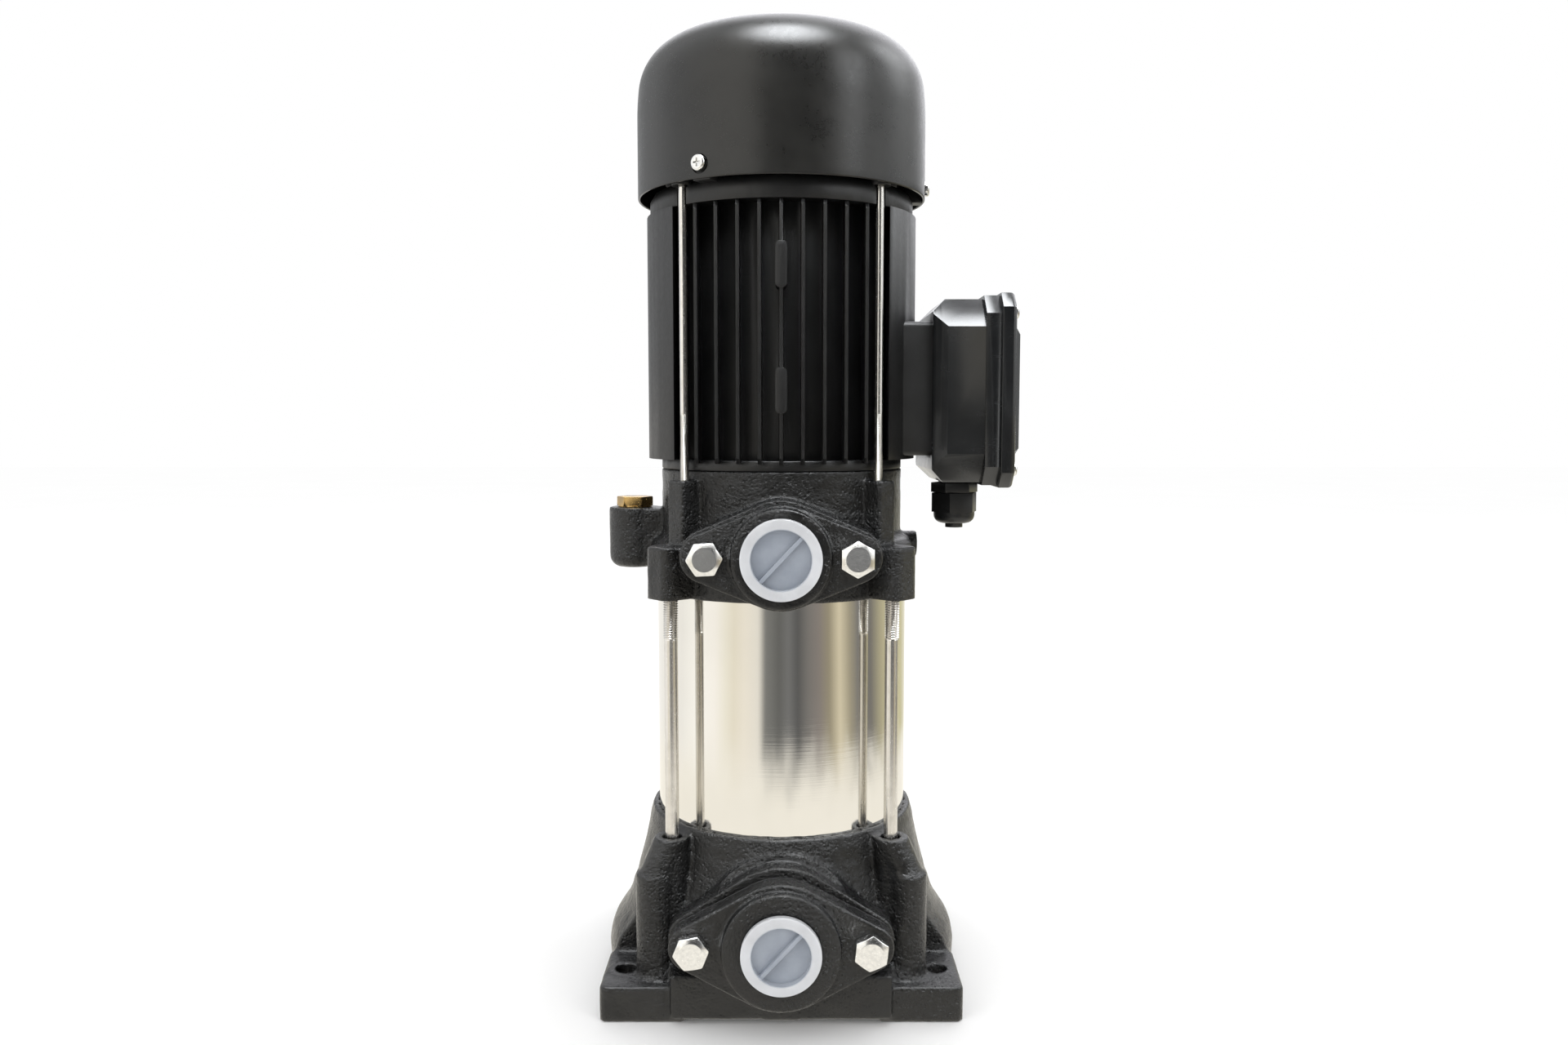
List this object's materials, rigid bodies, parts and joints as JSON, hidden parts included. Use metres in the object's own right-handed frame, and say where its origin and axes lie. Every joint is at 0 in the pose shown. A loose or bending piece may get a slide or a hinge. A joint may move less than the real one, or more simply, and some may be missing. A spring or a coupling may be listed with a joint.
{
  "type": "vertical multistage pump",
  "caption": "Vertical multistage centrifugal pump: cast base with front suction port, stainless sleeve on tie rods, cast discharge head and fan-cooled motor with side terminal box.",
  "frame": {"origin": "centre of the foot bolt pattern on the mounting plane under the feet", "axes": "+Z is the shaft axis, upwards; both ports face -Y; the terminal box is on +X and the priming plug on -X"},
  "size_m": [0.2267, 0.1915, 0.5217],
  "materials": {
    "cast_iron_black": "glossy black enamel over rough sand-cast iron",
    "motor_black": "semi-gloss black paint over die-cast aluminium",
    "cover_black": "smooth satin black powder coat on drawn steel",
    "mirror_stainless": "mirror-polished stainless tube",
    "bright_steel": "bright drawn stainless rod",
    "zinc_steel": "bright zinc-plated steel",
    "white_plastic": "natural polyethylene, slightly translucent",
    "box_plastic": "glossy black moulded plastic",
    "gland_nylon": "black nylon",
    "brass": "machined brass",
    "black_rubber": "nitrile rubber",
    "stage_polymer": "glass-filled polymer, dark grey",
    "impeller_polymer": "glass-filled polymer, cream",
    "bearing_steel": "ground bearing steel",
    "seal_ceramic": "lapped ceramic",
    "seal_carbon": "carbon graphite",
    "core_steel": "stacked electrical steel laminations",
    "copper_winding": "enamelled copper end turns",
    "fan_plastic": "black polypropylene",
    "phenolic": "dark phenolic moulding"
  },
  "bodies": {
    "root": {"box_mounting_screws": "zinc_steel", "discharge_chamber": "stage_polymer", "drive_end_shield": "motor_black", "fan_cover": "cover_black", "fan_cover_screws": "zinc_steel", "gland_blanking_plug": "gland_nylon", "gland_body": "gland_nylon", "gland_nut": "gland_nylon", "guide_bush": "seal_ceramic", "inlet_flange": "cast_iron_black", "inlet_flange_bolts": "zinc_steel", "inlet_gasket": "black_rubber", "lower_bearing_outer_ring": "bearing_steel", "motor_frame": "motor_black", "motor_through_bolts": "bright_steel", "outer_sleeve": "mirror_stainless", "outlet_flange": "cast_iron_black", "outlet_flange_bolts": "zinc_steel", "outlet_gasket": "black_rubber", "pump_base": "cast_iron_black", "pump_head": "cast_iron_black", "seal_seat": "seal_ceramic", "sleeve_seal_lower": "black_rubber", "sleeve_seal_upper": "black_rubber", "stack_spring": "bearing_steel", "stage_chamber_1": "stage_polymer", "stage_chamber_2": "stage_polymer", "stage_chamber_3": "stage_polymer", "stage_chamber_4": "stage_polymer", "stator_core": "core_steel", "stator_windings": "copper_winding", "suction_plate": "stage_polymer", "terminal_block": "phenolic", "terminal_box": "box_plastic", "terminal_studs": "brass", "tie_rod_washers": "bright_steel", "tie_rods": "bright_steel", "upper_bearing_outer_ring": "bearing_steel", "upper_end_shield": "motor_black"},
    "rotor": {"shaft": "bright_steel", "impeller_1": "impeller_polymer", "impeller_2": "impeller_polymer", "impeller_3": "impeller_polymer", "impeller_4": "impeller_polymer", "impeller_spacers": "bearing_steel", "impeller_nut": "zinc_steel", "seal_ring": "seal_carbon", "seal_bellows": "black_rubber", "shaft_slinger": "black_rubber", "rotor_core": "core_steel", "lower_bearing_inner_ring": "bearing_steel", "upper_bearing_inner_ring": "bearing_steel", "cooling_fan": "fan_plastic"},
    "lower_bearing_balls": {"lower_bearing_balls": "bearing_steel"},
    "upper_bearing_balls": {"upper_bearing_balls": "bearing_steel"},
    "priming_plug": {"priming_plug": "brass"},
    "inlet_transit_plug": {"inlet_transit_plug": "white_plastic"},
    "outlet_transit_plug": {"outlet_transit_plug": "white_plastic"},
    "terminal_lid": {"terminal_box_lid": "box_plastic", "lid_screws": "zinc_steel"}
  },
  "joints": [
    {"name": "rotor_spin", "type": "hinge", "parent": "root", "child": "rotor", "pos_m": [0, 0, 0.3], "axis": [0, 0, 1], "continuous": true},
    {"name": "lower_balls_orbit", "type": "hinge", "parent": "root", "child": "lower_bearing_balls", "pos_m": [0, 0, 0.295], "axis": [0, 0, 1], "continuous": true},
    {"name": "upper_balls_orbit", "type": "hinge", "parent": "root", "child": "upper_bearing_balls", "pos_m": [0, 0, 0.4235], "axis": [0, 0, 1], "continuous": true},
    {"name": "priming_plug_unscrew", "type": "slide", "parent": "root", "child": "priming_plug", "axis": [0, 0, 1], "range_m": [0, 0.018]},
    {"name": "inlet_plug_unscrew", "type": "slide", "parent": "root", "child": "inlet_transit_plug", "axis": [0, -1, 0], "range_m": [0, 0.03]},
    {"name": "outlet_plug_unscrew", "type": "slide", "parent": "root", "child": "outlet_transit_plug", "axis": [0, -1, 0], "range_m": [0, 0.03]},
    {"name": "terminal_lid_off", "type": "slide", "parent": "root", "child": "terminal_lid", "axis": [1, 0, 0], "range_m": [0, 0.04]}
  ],
  "couplings": [
    {"joint": "lower_balls_orbit", "follows": "rotor_spin", "ratio": 0.3836},
    {"joint": "upper_balls_orbit", "follows": "rotor_spin", "ratio": 0.3836}
  ]
}
